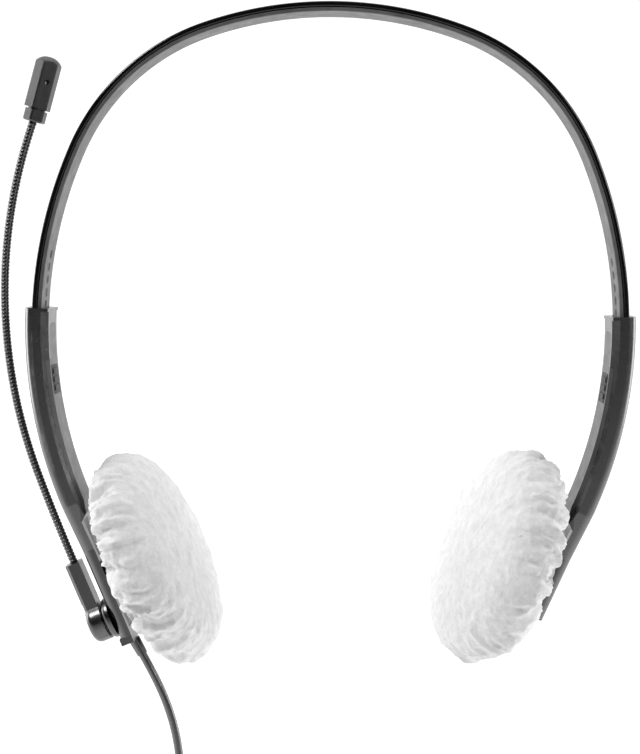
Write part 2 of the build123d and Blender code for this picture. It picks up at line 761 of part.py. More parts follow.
def neck_frame(distance):
    """Point and direction of the gooseneck's centre line at a distance from its foot."""
    centre, radius, polar, size = neck_line(distance - 0.01, distance)[-1]
    angle = math.radians(polar + size)
    point = Vector(centre[0] + radius * math.cos(angle), 0, centre[1] + radius * math.sin(angle))
    return Plane(origin=point, x_dir=(0, 1, 0), z_dir=(-math.sin(angle), 0, math.cos(angle)))


def gooseneck(first, last):
    """One length of the ribbed tube, drawn at its outer diameter."""
    with BuildPart() as tube:
        with BuildLine(Plane.XZ) as path:
            for centre, radius, polar, size in neck_line(first, last):
                CenterArc(centre, radius, polar, size)
        with BuildSketch(Plane(origin=path.line @ 0, z_dir=path.line % 0)):
            Circle(NECK_DIAMETER / 2)
        sweep()
    return tube.part


neck_end = neck_frame(NECK_LENGTH)
mic_lean = math.radians(MIC_LEAN)
mic_axis = Vector(math.sin(mic_lean), 0, math.cos(mic_lean))
mic_plane = Plane(origin=neck_end.origin - mic_axis * 1.6, x_dir=(math.cos(mic_lean), 0, -math.sin(mic_lean)),
                  z_dir=mic_axis)


def mic_section(flat):
    """Six-sided section, turned so that one ridge stands a little off the front."""
    return RegularPolygon(radius=flat / 2, side_count=6, major_radius=False, rotation=MIC_TURN)


def mic_collar():
    """Ring that grips the end of the gooseneck, with a step that enters the housing."""
    with BuildPart() as collar:
        with BuildSketch(mic_plane):
            add(mic_section(MIC_FLAT - 1.0))
        extrude(amount=COLLAR_LENGTH)
        fillet(collar.edges().filter_by(Axis(mic_plane.origin, mic_plane.z_dir)), 0.8)
        chamfer(collar.faces().sort_by(Axis(mic_plane.origin, mic_plane.z_dir))[0].edges(), 0.4)
        with BuildSketch(mic_plane.offset(COLLAR_LENGTH)):
            Circle(2.6)
        extrude(amount=2.0)
        with BuildSketch(neck_end.offset(-4)):
            Circle(NECK_DIAMETER / 2 + 0.02)
        extrude(amount=4.05, mode=Mode.SUBTRACT)
    return collar.part


def dome_profile(base):
    """Half section of the round envelope that gives the housing its domed top."""
    half_plane = Plane(origin=base.origin, x_dir=base.x_dir, z_dir=-base.y_dir)
    shoulder = MIC_LENGTH - DOME_RISE
    with BuildSketch(half_plane) as face:
        with BuildLine():
            Polyline((0, MIC_LENGTH), (0, -1), (DOME_RADIUS, -1), (DOME_RADIUS, shoulder))
            ThreePointArc(
                (DOME_RADIUS, shoulder),
                (DOME_RADIUS * math.sin(math.radians(48)), shoulder + DOME_RISE * math.cos(math.radians(48))),
                (0, MIC_LENGTH),
            )
        make_face()
    return face.sketch


def mic_housing():
    """Six-sided hollow housing with a domed top and a sound hole towards the front."""
    base = mic_plane.offset(COLLAR_LENGTH + 0.5)
    with BuildPart() as envelope:
        revolve(dome_profile(base), axis=Axis(base.origin, mic_axis))
    with BuildPart() as housing:
        with BuildSketch(base):
            add(mic_section(MIC_FLAT))
        extrude(amount=MIC_LENGTH)
        fillet(housing.edges().filter_by(Axis(mic_plane.origin, mic_plane.z_dir)), 0.7)
        add(envelope.part, mode=Mode.INTERSECT)
        with BuildSketch(base.offset(-0.1)):
            Circle(2.65)
        extrude(amount=MIC_LENGTH - 3.4, mode=Mode.SUBTRACT)
        hole_centre = base.origin + mic_axis * SOUND_HOLE_RISE - Vector(SOUND_HOLE_SIDE, 5, 0)
        with BuildSketch(Plane(origin=hole_centre, z_dir=(0, 1, 0))):
            Circle(0.7)
        extrude(amount=3.0, mode=Mode.SUBTRACT)
    return housing.part


def mic_capsule():
    with BuildPart() as capsule:
        with BuildSketch(mic_plane.offset(COLLAR_LENGTH + 4.2)):
            Circle(2.5)
        extrude(amount=4.5)
    return capsule.part


def mic_felt():
    with BuildPart() as felt:
        with BuildSketch(mic_plane.offset(COLLAR_LENGTH + 8.8)):
            Circle(2.5)
        extrude(amount=1.2)
    return felt.part


LEFT = -1
write(on_side(boom_base(), LEFT), "boom_base")
write(on_side(boom_pivot(), LEFT), "boom_pivot")
write(on_side(boom_washer(), LEFT), "boom_washer")
write(on_side(boom_knuckle(), LEFT), "boom_knuckle")
for name, first, last in zip(("lower", "middle", "upper"), NECK_CUTS, NECK_CUTS[1:]):
    start = first + (NECK_GAP / 2 if first else 0.0)
    end = last - (NECK_GAP / 2 if last < NECK_LENGTH else 0.0)
    write(on_side(gooseneck(start, end), LEFT), f"gooseneck_{name}")
write(on_side(mic_collar(), LEFT), "mic_collar")
write(on_side(mic_housing(), LEFT), "mic_housing")
write(on_side(mic_capsule(), LEFT), "mic_capsule")
write(on_side(mic_felt(), LEFT), "mic_felt")

# ---------------------------------------------------------------- foot cap and cable

FOOT_END = LEFT_FOOT + FOOT_CAP


def foot_cap():
    """Dark plug in the foot of the left arm, with the hole of the strain relief."""
    with BuildPart() as cap:
        with BuildSketch(arm_plane(LEFT_FOOT, 0)):
            with Locations((FOOT_CAP / 2, 0)):
                Rectangle(FOOT_CAP, FOOT_WIDTH)
        extrude(amount=ARM_OUT)
        with BuildSketch(arm_plane(LEFT_FOOT, FOOT_IN)):
            with Locations((FOOT_CAP / 2, 0)):
                Rectangle(FOOT_CAP, FOOT_WIDTH)
        extrude(amount=-FOOT_IN)
        bore_start = arm_plane(LEFT_FOOT - 1, RELIEF_OFFSET).origin
        with BuildSketch(Plane(origin=bore_start, z_dir=arm_plane().x_dir)):
            Circle(RELIEF_ROOT + 0.02)
        extrude(amount=FOOT_CAP + 2, mode=Mode.SUBTRACT)
    return cap.part


relief_angle = math.radians(ARM_BEND_END + RELIEF_TURN)
relief_axis = Vector(math.cos(relief_angle), 0, -math.sin(relief_angle))
relief_root = arm_plane(FOOT_END, RELIEF_OFFSET)
relief_plane = Plane(origin=relief_root.origin + relief_axis * 0.12, z_dir=relief_axis)


def strain_relief():
    """Short tapered rubber sleeve where the cable leaves the foot."""
    with BuildPart() as relief:
        with BuildSketch(relief_plane):
            Circle(RELIEF_DIAMETER / 2 + 0.2)
        with BuildSketch(relief_plane.offset(RELIEF_LENGTH)):
            Circle(RELIEF_DIAMETER / 2)
        loft()
        with BuildSketch(Plane(origin=relief_root.origin, z_dir=arm_plane().x_dir).offset(0.6)):
            Circle(RELIEF_ROOT)
        extrude(amount=-FOOT_CAP - 0.6)
    return relief.part


exit_point = relief_plane.origin + relief_axis * RELIEF_LENGTH
CABLE_ROUTE = [
    (-exit_point.X, 0.0, exit_point.Z),
    (-52.3, 0.0, -203.4),
    (-48.4, 0.0, -212.4),
    (-45.7, 0.0, -221.8),
    (-44.3, -0.5, -232.2),
    (-44.4, -1.5, -243.0),
    (-46.1, -2.4, -253.0),
    (-49.6, -2.8, -262.5),
]


def route_radii(points):
    """The largest tangent arc that each corner of a route allows."""
    radii = []
    for before, corner, after in zip(points, points[1:], points[2:]):
        first = Vector(*corner) - Vector(*before)
        second = Vector(*after) - Vector(*corner)
        turn = math.radians(first.get_angle(second))
        radii.append(0.45 * min(first.length, second.length) / math.tan(turn / 2))
    return radii


def cable():
    with BuildPart() as tube:
        with BuildLine() as path:
            FilletPolyline(*CABLE_ROUTE, radius=route_radii(CABLE_ROUTE))
        with BuildSketch(Plane(origin=path.line @ 0, z_dir=path.line % 0)):
            Circle(CABLE_DIAMETER / 2)
        sweep()
    length = sum(edge.length for edge in path.edges())
    expected = length * math.pi * CABLE_DIAMETER**2 / 4
    print(f"cable radii {[round(radius, 1) for radius in route_radii(CABLE_ROUTE)]}")
    print(f"cable length {length:.1f}, volume {tube.part.volume:.1f} of {expected:.1f}")
    return tube.part


coil_plane = Plane(origin=(COIL_CENTRE[0], 0, COIL_CENTRE[1]), x_dir=(1, 0, 0), z_dir=(0, -1, 0))


def cable_coil():
    """Outer shape of the tied ring of spare cable."""
    with BuildPart() as coil:
        with BuildSketch(coil_plane):
            Circle(COIL_RADIUS + COIL_RADIAL / 2)
            Circle(COIL_RADIUS - COIL_RADIAL / 2, mode=Mode.SUBTRACT)
        extrude(amount=COIL_DEPTH / 2, both=True)
        fillet(coil.edges(), 1.3)
    return coil.part


def cable_tie():
    """Strap round the bundle of turns, on the side where the cable joins it."""
    wrap = 1.0
    angle = math.radians(172)
    middle_x = COIL_CENTRE[0] + COIL_RADIUS * math.cos(angle)
    middle_z = COIL_CENTRE[1] + COIL_RADIUS * math.sin(angle)
    place = Plane(
        origin=(middle_x, 0, middle_z),
        x_dir=(math.cos(angle), 0, math.sin(angle)),
        z_dir=(-math.sin(angle), 0, math.cos(angle)),
    )
    with BuildPart() as tie:
        with BuildSketch(place.offset(-2.5)):
            RectangleRounded(COIL_RADIAL + 2 * wrap + 0.6, COIL_DEPTH + 2 * wrap, 1.8)
            RectangleRounded(COIL_RADIAL + 1.0, COIL_DEPTH + 0.2, 1.0, mode=Mode.SUBTRACT)
        extrude(amount=5.0)
    return tie.part


TAIL_TOP = -273.4
PLUG_RELIEF = 8.0
PLUG_BODY = 17.0
PLUG_BODY_RADIUS = 3.9
SLEEVE_LENGTH = 11.4
TIP_LENGTH = 2.6
RING_HEIGHTS = (3.6, 6.4, 9.4)


PLUG_AXIS = Axis((PLUG_X, PLUG_DEPTH, PLUG_TOP), (0, 0, 1))


def plug_profile(*points):
    """Half section of a round plug piece, from (radius, height) points."""
    with BuildSketch(Plane(origin=PLUG_AXIS.position, x_dir=(1, 0, 0), z_dir=(0, -1, 0))) as face:
        with BuildLine():
            Polyline(*points, close=True)
        make_face()
    return face.sketch


def cable_tail():
    """End of the cable, from the ring of turns down to the plug."""
    with BuildPart() as tail:
        with BuildSketch(Plane(origin=(PLUG_X, PLUG_DEPTH, PLUG_TOP), z_dir=(0, 0, 1))):
            Circle(CABLE_DIAMETER / 2)
        extrude(amount=TAIL_TOP - PLUG_TOP)
    return tail.part


def plug_body():
    with BuildPart() as body:
        end = -PLUG_RELIEF - PLUG_BODY
        sleeve = [(0, 0), (1.7, 0), (2.3, -PLUG_RELIEF), (PLUG_BODY_RADIUS - 0.9, -PLUG_RELIEF - 0.4)]
        grip = [(PLUG_BODY_RADIUS, -PLUG_RELIEF - 2.2), (PLUG_BODY_RADIUS, end + 1.2)]
        revolve(plug_profile(*sleeve, *grip, (PLUG_BODY_RADIUS - 0.8, end), (0, end)), axis=PLUG_AXIS)
    return body.part


def plug_pin():
    """Four-pole jack: a straight sleeve, then the waisted tip."""
    top = -PLUG_RELIEF - PLUG_BODY
    waist = top - SLEEVE_LENGTH
    with BuildPart() as pin:
        sleeve = [(0, top), (PIN_RADIUS, top), (PIN_RADIUS, waist), (1.1, waist - 0.7)]
        tip = [(1.5, waist - 1.5), (0.6, waist - TIP_LENGTH), (0, waist - TIP_LENGTH)]
        revolve(plug_profile(*sleeve, *tip), axis=PLUG_AXIS)
    return pin.part


write(on_side(foot_cap(), LEFT), "left_foot_cap")
write(on_side(strain_relief(), LEFT), "strain_relief")
write(cable(), "cable")
write(cable_coil(), "cable_coil")
write(cable_tie(), "cable_tie")
write(cable_tail(), "cable_tail")
write(plug_body(), "plug_body")
write(plug_pin(), "plug_pin")

print(f"leg centre {LEG_CENTRE}, flex {band_point(FLEX_HEADING)}")
rest_angles = {name: (CUP_LEAN + tilt, CUP_YAW - swivel) for name, (tilt, swivel) in CUP_REST.items()}
print(f"cup lean and yaw {rest_angles}")
print(f"cup pivot {(pivot_x, pivot_z)}, boom pivot {BOOM_PLANE.origin}")
print(f"gooseneck cuts {[neck_frame(cut).origin for cut in NECK_CUTS[1:3]]}, end {neck_end.origin}")
print(f"cable exit {exit_point}")
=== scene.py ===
import math

import bpy
from mathutils import Matrix, Vector, noise


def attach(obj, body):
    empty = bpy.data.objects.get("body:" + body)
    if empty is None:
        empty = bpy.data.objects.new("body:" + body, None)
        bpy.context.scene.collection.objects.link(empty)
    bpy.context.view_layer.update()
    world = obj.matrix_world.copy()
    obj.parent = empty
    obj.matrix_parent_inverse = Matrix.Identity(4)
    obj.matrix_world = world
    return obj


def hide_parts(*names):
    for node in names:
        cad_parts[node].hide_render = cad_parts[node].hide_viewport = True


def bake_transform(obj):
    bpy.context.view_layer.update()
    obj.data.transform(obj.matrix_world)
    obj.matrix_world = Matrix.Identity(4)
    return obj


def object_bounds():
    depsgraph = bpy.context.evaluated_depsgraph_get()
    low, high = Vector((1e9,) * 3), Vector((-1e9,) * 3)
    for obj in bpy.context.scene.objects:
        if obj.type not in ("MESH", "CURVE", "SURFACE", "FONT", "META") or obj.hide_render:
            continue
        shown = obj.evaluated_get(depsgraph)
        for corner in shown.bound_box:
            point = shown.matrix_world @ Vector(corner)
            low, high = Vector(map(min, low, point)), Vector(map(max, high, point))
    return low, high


# Stereo headset with a gooseneck boom microphone. Numbers for the object are in millimetres and are turned
# into metres by MM. The camera's distance, the floor and the lights are in metres.
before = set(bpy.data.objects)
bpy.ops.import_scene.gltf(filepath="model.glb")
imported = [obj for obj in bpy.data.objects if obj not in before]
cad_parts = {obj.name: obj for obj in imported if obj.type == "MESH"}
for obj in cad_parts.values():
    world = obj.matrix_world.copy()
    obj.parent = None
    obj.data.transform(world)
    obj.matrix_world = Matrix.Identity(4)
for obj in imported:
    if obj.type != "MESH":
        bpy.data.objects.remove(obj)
cad_low, cad_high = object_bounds()
MM = 0.001
SIDES = (("left", -1), ("right", 1))
scene = bpy.context.scene

# ---------------------------------------------------------------- camera

TARGET = Vector((-2.71, 0.0, -108.7)) * MM
CAMERA_DISTANCE = 0.450
CAMERA_AZIMUTH = math.radians(0.92)
CAMERA_ELEVATION = math.radians(5.0)
CAMERA_ROLL = math.radians(0.85)
LENS = 70.5
SENSOR_WIDTH = 36
CLIP_START = 0.01

back = Vector((
    math.sin(CAMERA_AZIMUTH) * math.cos(CAMERA_ELEVATION),
    -math.cos(CAMERA_AZIMUTH) * math.cos(CAMERA_ELEVATION),
    math.sin(CAMERA_ELEVATION),
))
right = Vector((math.cos(CAMERA_AZIMUTH), math.sin(CAMERA_AZIMUTH), 0.0))
above = back.cross(right)
camera_right = right * math.cos(CAMERA_ROLL) + above * math.sin(CAMERA_ROLL)
camera_up = above * math.cos(CAMERA_ROLL) - right * math.sin(CAMERA_ROLL)
camera = bpy.data.objects.new("camera", bpy.data.cameras.new("camera"))
scene.collection.objects.link(camera)
camera.matrix_world = Matrix((camera_right, camera_up, back)).transposed().to_4x4()
camera.location = TARGET + back * CAMERA_DISTANCE
camera.data.lens = LENS
camera.data.sensor_width = SENSOR_WIDTH
camera.data.clip_start = CLIP_START
scene.camera = camera

# ---------------------------------------------------------------- materials
# Texture scales count features per metre, and bump depths are in metres.

PATCH_SCALE = 90.0
GLOSS_WEAR_SCALE = 260.0
WAVE_SCALE = 120.0
WAVE_DEPTH = 0.00006
MACHINING_SCALE = 900.0
MACHINING_DEPTH = 0.00001
FIBRE_SCALE = 1500.0
BLOTCH_SCALE = 330.0
CRINKLE_SCALE = 260.0
FOAM_CELL_SCALE = 1100.0


def principled(material):
    return material.node_tree.nodes["Principled BSDF"]


def new_material(name, colour, roughness, **sockets):
    """A material with one Principled shader, and the values of its sockets."""
    material = bpy.data.materials.new(name)
    material.use_nodes = True
    shader = principled(material)
    shader.inputs["Base Color"].default_value = (*colour, 1)
    shader.inputs["Roughness"].default_value = roughness
    for socket, value in sockets.items():
        shader.inputs[socket.replace("_", " ")].default_value = value
    return material


def node(material, kind, **values):
    """A shader node, with its properties or sockets set by name."""
    made = material.node_tree.nodes.new(kind)
    for name, value in values.items():
        if hasattr(made, name):
            setattr(made, name, value)
        else:
            made.inputs[name.replace("_", " ")].default_value = value
    return made


def coordinates(material, stretch=(1, 1, 1)):
    """Object coordinates, stretched along an axis."""
    place = node(material, "ShaderNodeTexCoord")
    mapping = node(material, "ShaderNodeMapping")
    mapping.inputs["Scale"].default_value = stretch
    material.node_tree.links.new(place.outputs["Object"], mapping.inputs["Vector"])
    return mapping.outputs["Vector"]


def grain(material, scale, detail, roughness=0.6, stretch=(1, 1, 1)):
    """Noise in object space."""
    texture = node(material, "ShaderNodeTexNoise", Scale=scale, Detail=detail, Roughness=roughness)
    material.node_tree.links.new(coordinates(material, stretch), texture.inputs["Vector"])
    return texture.outputs["Fac"]


def shift_colour(material, mask, low, high, start=0.35, end=0.65):
    """Base colour between low and high, by a mask."""
    links = material.node_tree.links
    ramp = node(material, "ShaderNodeValToRGB")
    ramp.color_ramp.elements[0].position = start
    ramp.color_ramp.elements[1].position = end
    ramp.color_ramp.elements[0].color = (*low, 1)
    ramp.color_ramp.elements[1].color = (*high, 1)
    links.new(mask, ramp.inputs["Fac"])
    links.new(ramp.outputs["Color"], principled(material).inputs["Base Color"])


def shift_roughness(material, mask, low, high):
    """Roughness between low and high, by a mask."""
    links = material.node_tree.links
    spread = node(material, "ShaderNodeMapRange")
    spread.inputs["From Min"].default_value = 0.3
    spread.inputs["From Max"].default_value = 0.7
    spread.inputs["To Min"].default_value = low
    spread.inputs["To Max"].default_value = high
    links.new(mask, spread.inputs["Value"])
    links.new(spread.outputs["Result"], principled(material).inputs["Roughness"])


def bump(material, height, depth, strength=1.0, below=None):
    """Bump of a given depth, on top of another bump."""
    links = material.node_tree.links
    made = node(material, "ShaderNodeBump", Strength=strength, Distance=depth)
    links.new(height, made.inputs["Height"])
    if below is not None:
        links.new(below.outputs["Normal"], made.inputs["Normal"])
    links.new(made.outputs["Normal"], principled(material).inputs["Normal"])
    return made


def tint(colour, factor):
    """A colour made lighter or darker."""
    return tuple(min(1.0, part * factor) for part in colour)


def moulded(name, colour, roughness, texture_scale=2600.0, texture_depth=0.00003, spread=0.35, **sockets):
    """Moulded plastic: fine spark texture, patches of wear in its gloss, faint shade changes."""
    material = new_material(name, colour, roughness, **sockets)
    patches = grain(material, PATCH_SCALE, 4.0)
    shift_colour(material, patches, tint(colour, 1 - spread), tint(colour, 1 + spread))
    shift_roughness(material, grain(material, GLOSS_WEAR_SCALE, 5.0), roughness * 0.82, roughness * 1.2)
    waves = bump(material, grain(material, WAVE_SCALE, 2.0), WAVE_DEPTH, 0.3)
    bump(material, grain(material, texture_scale, 2.0), texture_depth, 0.8, waves)
    return material


def metal(name, colour, roughness):
    """Metal with fine lines from its making, which change fastest along Z."""
    material = new_material(name, colour, roughness, Metallic=1.0)
    lines = grain(material, MACHINING_SCALE, 4.0, 0.6, (1, 1, 12))
    shift_colour(material, lines, tint(colour, 0.82), tint(colour, 1.1))
    shift_roughness(material, lines, roughness * 0.8, roughness * 1.3)
    bump(material, lines, MACHINING_DEPTH, 0.5)
    return material


def cloth_material():
    """White non-woven cloth: matted fibres, crinkles, and blotches of shade and thickness."""
    material = new_material("cover_cloth", (0.80, 0.80, 0.795), 0.95)
    fibres = grain(material, FIBRE_SCALE, 6.0, 0.75)
    blotches = grain(material, BLOTCH_SCALE, 4.0, 0.7)
    shift_colour(material, blotches, (0.66, 0.66, 0.66), (0.82, 0.82, 0.82), 0.25, 0.7)
    crinkle = bump(material, grain(material, CRINKLE_SCALE, 5.0, 0.65), 0.0010, 0.8)
    matted = bump(material, blotches, 0.0006, 0.8, crinkle)
    bump(material, fibres, 0.00025, 0.9, matted)
    return material


def foam_material():
    """Open-cell foam, with painted shade: each cell's sunken middle is painted darker."""
    material = new_material("foam", (0.03, 0.03, 0.031), 0.95)
    cells = node(material, "ShaderNodeTexVoronoi", Scale=FOAM_CELL_SCALE)
    material.node_tree.links.new(coordinates(material), cells.inputs["Vector"])
    # painted shade: colour darkens towards each cell's middle, the same place the bump sinks
    shift_colour(material, cells.outputs["Distance"], (0.012, 0.012, 0.013), (0.05, 0.05, 0.052), 0.1, 0.6)
    bump(material, cells.outputs["Distance"], 0.0003, 0.8)
    return material


SLOTS = {
    "band_gloss": moulded("band_gloss", (0.004, 0.004, 0.0045), 0.12, texture_scale=1800.0,
                          texture_depth=0.000004, spread=0.3, IOR=1.6),
    "band_matt": moulded("band_matt", (0.085, 0.085, 0.086), 0.45, texture_scale=2400.0,
                         texture_depth=0.00003, spread=0.25),
    "spring_steel": metal("spring_steel", (0.55, 0.55, 0.56), 0.3),
    "arm_plastic": moulded("arm_plastic", (0.006, 0.006, 0.0063), 0.24, texture_scale=2600.0,
                           texture_depth=0.00002, spread=0.35, IOR=2.1),
    "cover_plastic": moulded("cover_plastic", (0.010, 0.010, 0.0105), 0.36, texture_scale=2200.0,
                             texture_depth=0.00005, spread=0.35, IOR=1.8),
    "tab_rubber": moulded("tab_rubber", (0.02, 0.02, 0.02), 0.6, texture_scale=2600.0,
                          texture_depth=0.00003, spread=0.3),
    "screw_steel": metal("screw_steel", (0.45, 0.45, 0.46), 0.35),
    "housing_plastic": moulded("housing_plastic", (0.02, 0.02, 0.021), 0.5),
    "pin_steel": metal("pin_steel", (0.6, 0.6, 0.61), 0.2),
    "basket_plastic": moulded("basket_plastic", (0.05, 0.05, 0.05), 0.55),
    "magnet_metal": metal("magnet_metal", (0.5, 0.5, 0.5), 0.25),
    "diaphragm_film": moulded("diaphragm_film", (0.5, 0.45, 0.35), 0.25, texture_scale=900.0,
                              texture_depth=0.00004, spread=0.1),
    "foam": foam_material(),
    "cover_cloth": cloth_material(),
    "boom_plastic": moulded("boom_plastic", (0.005, 0.005, 0.0053), 0.28, texture_scale=2400.0,
                            texture_depth=0.00003, spread=0.35, IOR=1.95),
    "gooseneck": moulded("gooseneck", (0.005, 0.005, 0.0053), 0.26, texture_scale=2600.0,
                         texture_depth=0.00001, spread=0.3, IOR=1.9),
    "mic_plastic": moulded("mic_plastic", (0.016, 0.016, 0.0165), 0.34, texture_scale=2400.0,
                           texture_depth=0.00004, spread=0.35, IOR=1.7),
    "capsule_metal": metal("capsule_metal", (0.6, 0.6, 0.6), 0.3),
    "felt": foam_material(),
    "cable_jacket": moulded("cable_jacket", (0.005, 0.005, 0.0053), 0.24, texture_scale=2600.0,
                            texture_depth=0.00001, spread=0.3, IOR=2.1),
    "plug_metal": metal("plug_metal", (0.78, 0.6, 0.28), 0.2),
}

NODE_SLOTS = {
    "band_crown_shell": "band_gloss",
    "band_crown_liner": "band_matt",
    "band_crown_spring": "spring_steel",
    "band_shell": "band_gloss",
    "band_liner": "band_matt",
    "band_spring": "spring_steel",
    "arm_casing": "arm_plastic",
    "arm_cover": "cover_plastic",
    "detent_spring": "spring_steel",
    "arm_screws": "screw_steel",
    "side_tab": "tab_rubber",
    "cup_post": "housing_plastic",
    "cup_knuckle": "housing_plastic",
    "cup_pin": "pin_steel",
    "cup_housing": "housing_plastic",
    "driver_basket": "basket_plastic",
    "driver_magnet": "magnet_metal",
    "driver_diaphragm": "diaphragm_film",
    "driver_grille": "housing_plastic",
    "cushion": "foam",
    "cushion_cover": "cover_cloth",
    "boom_base": "boom_plastic",
    "boom_pivot": "pin_steel",
    "boom_washer": "pin_steel",
    "foot_cap": "boom_plastic",
    "boom_knuckle": "boom_plastic",
    "gooseneck_lower": "gooseneck",
    "gooseneck_middle": "gooseneck",
    "gooseneck_upper": "gooseneck",
    "mic_collar": "mic_plastic",
    "mic_housing": "mic_plastic",
    "mic_capsule": "capsule_metal",
    "mic_felt": "felt",
    "strain_relief": "cable_jacket",
    "cable": "cable_jacket",
    "cable_coil": "cable_jacket",
    "cable_tie": "boom_plastic",
    "cable_tail": "cable_jacket",
    "plug_body": "boom_plastic",
    "plug_pin": "plug_metal",
}

for name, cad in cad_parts.items():
    key = name
    for side in ("left_", "right_"):
        if key.startswith(side):
            key = key[len(side):]
    material = SLOTS[NODE_SLOTS[key]]
    if cad.material_slots:
        for place in cad.material_slots:
            place.material = material
    else:
        cad.data.materials.append(material)

# ---------------------------------------------------------------- building helpers


def new_piece(name, vertices, faces, slot, sharp=None):
    """A smooth-shaded mesh piece from points in metres, with edges kept sharp above an angle in degrees."""
    mesh = bpy.data.meshes.new(name)
    mesh.from_pydata(vertices, [], faces)
    mesh.validate()
    mesh.update()
    piece = bpy.data.objects.new(name, mesh)
    scene.collection.objects.link(piece)
    mesh.polygons.foreach_set("use_smooth", [True] * len(mesh.polygons))
    if sharp:
        mesh.set_sharp_from_angle(angle=math.radians(sharp))
    mesh.materials.append(SLOTS[slot])
    return piece


def loft(rings, closed_ring=True, caps=True):
    """Faces between rings of points, with the same count in each."""
    vertices = [point for ring in rings for point in ring]
    count = len(rings[0])
    faces = []
    for row in range(len(rings) - 1):
        low = row * count
        high = low + count
        for k in range(count if closed_ring else count - 1):
            after = (k + 1) % count
            faces.append((low + k, low + after, high + after, high + k))
    if caps:
        faces.append(tuple(range(count))[::-1])
        faces.append(tuple((len(rings) - 1) * count + k for k in range(count)))
    return vertices, faces


def flip(faces):
    """The same faces, turned over."""
    return [face[::-1] for face in faces]


# ---------------------------------------------------------------- cable, with its coil and tail

CABLE_DIAMETER = 2.6
CABLE_EXIT = (-56.5398, 0.0, -195.8348)
CABLE_ROUTE = [
    CABLE_EXIT,
    (-52.3, 0.0, -203.4),
    (-48.4, 0.0, -212.4),
    (-45.7, 0.0, -221.8),
    (-44.3, -0.5, -232.2),
    (-44.4, -1.5, -243.0),
    (-46.1, -2.4, -253.0),
    (-49.6, -2.8, -262.5),
]
COIL_CENTRE = (-32.2, -271.0)
TURN_RADII = (19.7, 16.9, 14.1, 11.3, 11.3, 14.1, 16.9, 19.7, 14.1, 16.9, 19.7)
TURN_DEPTHS = (-2.8, -2.8, -2.8, -2.8, 0.0, 0.0, 0.0, 0.0, 2.8, 2.8, 2.8)
DEEP_DROP = 4.0
STEP_START = 166.0
STEP_END = 184.0
CROSSING_START = 144.0
CROSSING_END = 162.0
TURN_STEP = 20.0
COIL_ENTRY = 172.0 - 360.0
COIL_LEAVES = 360.0 * (len(TURN_RADII) - 1) + 191.0
CABLE_TAIL = [(-51.3, 2.8, -277.6), (-50.7, 2.8, -281.0), (-50.6, 2.8, -284.0), (-50.6, 2.8, -287.0)]


def ease(value):
    """Smooth step from 0 to 1."""
    value = max(0.0, min(1.0, value))
    return value * value * (3 - 2 * value)


def coil_slot(angle):
    """Radius and depth of the winding at a running angle in degrees, one place in the bundle a turn."""
    turn = int((angle - STEP_END) // 360) + 1
    turn = max(0, min(len(TURN_RADII) - 1, turn))
    following = min(turn + 1, len(TURN_RADII) - 1)
    inside = angle - 360 * turn
    crossing = TURN_RADII[following] < TURN_RADII[turn] - DEEP_DROP
    first, last = (CROSSING_START, CROSSING_END) if crossing else (STEP_START, STEP_END)
    share = ease((inside - first) / (last - first))
    radius = TURN_RADII[turn] + (TURN_RADII[following] - TURN_RADII[turn]) * share
    depth = TURN_DEPTHS[turn] + (TURN_DEPTHS[following] - TURN_DEPTHS[turn]) * share
    return radius / math.cos(math.radians(TURN_STEP / 2)) ** 0.5, depth


def coil_points():
    """The coil's turns, one point each TURN_STEP degrees."""
    points = []
    angle = COIL_ENTRY
    while angle < COIL_LEAVES:
        radius, depth = coil_slot(angle)
        turn = math.radians(angle)
        x = COIL_CENTRE[0] + radius * math.cos(turn)
        z = COIL_CENTRE[1] + radius * math.sin(turn)
        points.append((x, depth, z))
        angle += TURN_STEP
    return points


def nurbs(name, points, diameter, slot):
    """One smooth open curve with these control points in millimetres."""
    data = bpy.data.curves.new(name, "CURVE")
    data.dimensions = "3D"
    data.bevel_depth = diameter * MM / 2
    data.bevel_resolution = 5
    data.resolution_u = 6
    data.use_fill_caps = True
    spline = data.splines.new("NURBS")
    spline.points.add(len(points) - 1)
    for control, point in zip(spline.points, points):
        control.co = (point[0] * MM, point[1] * MM, point[2] * MM, 1)
    spline.order_u = 3
    spline.use_endpoint_u = True
    spline.use_smooth = True
    data.materials.append(SLOTS[slot])
    piece = bpy.data.objects.new(name, data)
    scene.collection.objects.link(piece)
    return piece


cord = nurbs("cable_lead", CABLE_ROUTE + coil_points() + CABLE_TAIL, CABLE_DIAMETER, "cable_jacket")
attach(cord, "left_arm")
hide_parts("cable", "cable_coil", "cable_tail")

# ---------------------------------------------------------------- band
# Three tangent arcs from the top down each side. A heading is degrees from straight up, and an offset is
# outward from the band's middle line.

CROWN_RADIUS = 115.5
CROWN_END = 19.5
SHOULDER_RADIUS = 66.0
SHOULDER_END = 66.5
LEG_RADIUS = 135.0
LEG_END = 99.9
OUTER = 1.5
LINER_TOP = -0.4
HALF_WIDTH = 6.2
DIMPLE_RADIUS = 1.3
DIMPLE_DEPTH = 0.35
DIMPLE_HEADINGS = [92.0 + 1.655 * k for k in range(-7, 5)]
DIMPLED_HEADINGS = (79.0, 88.5)
RING_SPACING = 1.2
DIMPLE_RING_SPACING = 0.2
CORNER_STEPS = 4
BAND_SHARP = 40


def outward(start, distance, heading):
    """A point at a distance from another, along a heading."""
    turn = math.radians(heading)
    return (start[0] + distance * math.sin(turn), start[1] + distance * math.cos(turn))


CROWN_CENTRE = (0.0, OUTER - CROWN_RADIUS)
SHOULDER_CENTRE = outward(CROWN_CENTRE, CROWN_RADIUS - SHOULDER_RADIUS, CROWN_END)
LEG_CENTRE = outward(SHOULDER_CENTRE, SHOULDER_RADIUS - LEG_RADIUS, SHOULDER_END)


